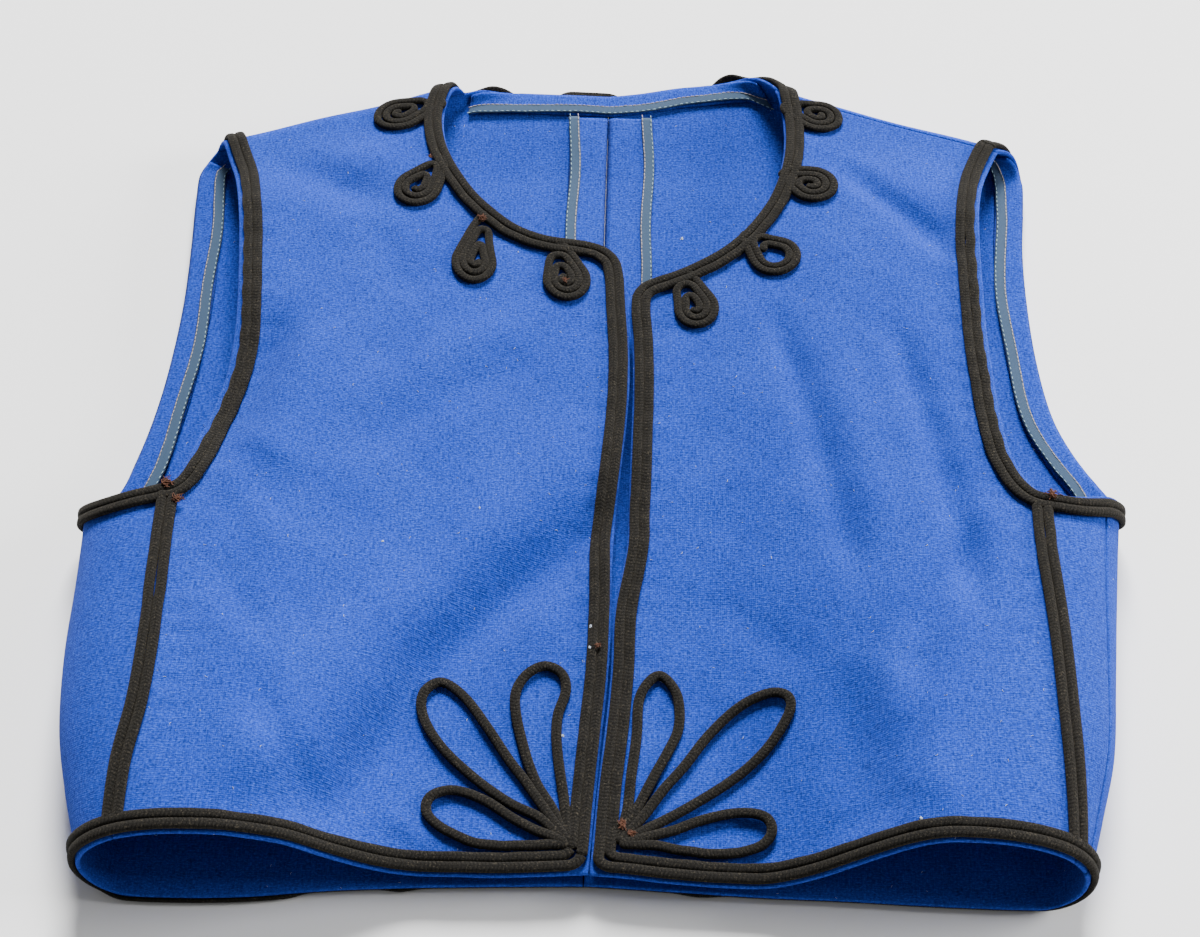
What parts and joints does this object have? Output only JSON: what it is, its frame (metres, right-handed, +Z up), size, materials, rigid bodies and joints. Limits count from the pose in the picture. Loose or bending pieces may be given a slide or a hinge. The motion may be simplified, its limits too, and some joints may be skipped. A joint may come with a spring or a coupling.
{
  "type": "embroidered folk vest",
  "caption": "Sleeveless folk vest in blue felted wool, its edges and side seams trimmed with black plaited cord, with coils at the neck and petals at the hem, laid flat on its back.",
  "frame": {"origin": "middle of the vest's outline as it lies, on the surface it rests on", "axes": "+X towards the wearer's left, +Y from the hem to the neck, +Z up, out of the fronts"},
  "size_m": [0.4238, 0.4252, 0.0466],
  "materials": {
    "blue_wool": "matte felted wool",
    "black_cord": "matte plaited wool",
    "binding_tape": "matte woven tape"
  },
  "bodies": {
    "root": {"front_right": "blue_wool", "front_left": "blue_wool", "side_right": "blue_wool", "side_left": "blue_wool", "back_right": "blue_wool", "back_left": "blue_wool", "centre_allowance_right": "blue_wool", "centre_allowance_left": "blue_wool", "armhole_right_turning": "blue_wool", "armhole_left_turning": "blue_wool", "neck_turning": "blue_wool", "centre_binding_right": "binding_tape", "centre_binding_left": "binding_tape", "armhole_right_binding": "binding_tape", "armhole_left_binding": "binding_tape", "neck_binding": "binding_tape", "neck_and_front_braid": "black_cord", "hem_braid": "black_cord", "armhole_braid_right": "black_cord", "armhole_braid_left": "black_cord", "side_braid_right": "black_cord", "side_braid_left": "black_cord", "neck_swirl_1": "black_cord", "neck_swirl_2": "black_cord", "neck_swirl_3": "black_cord", "neck_swirl_4": "black_cord", "neck_swirl_5": "black_cord", "neck_swirl_6": "black_cord", "neck_swirl_7": "black_cord", "neck_swirl_8": "black_cord", "hem_petal_right_inner": "black_cord", "hem_petal_right_middle": "black_cord", "hem_petal_right_outer": "black_cord", "hem_petal_left_inner": "black_cord", "hem_petal_left_middle": "black_cord", "hem_petal_left_outer": "black_cord"}
  },
  "joints": []
}
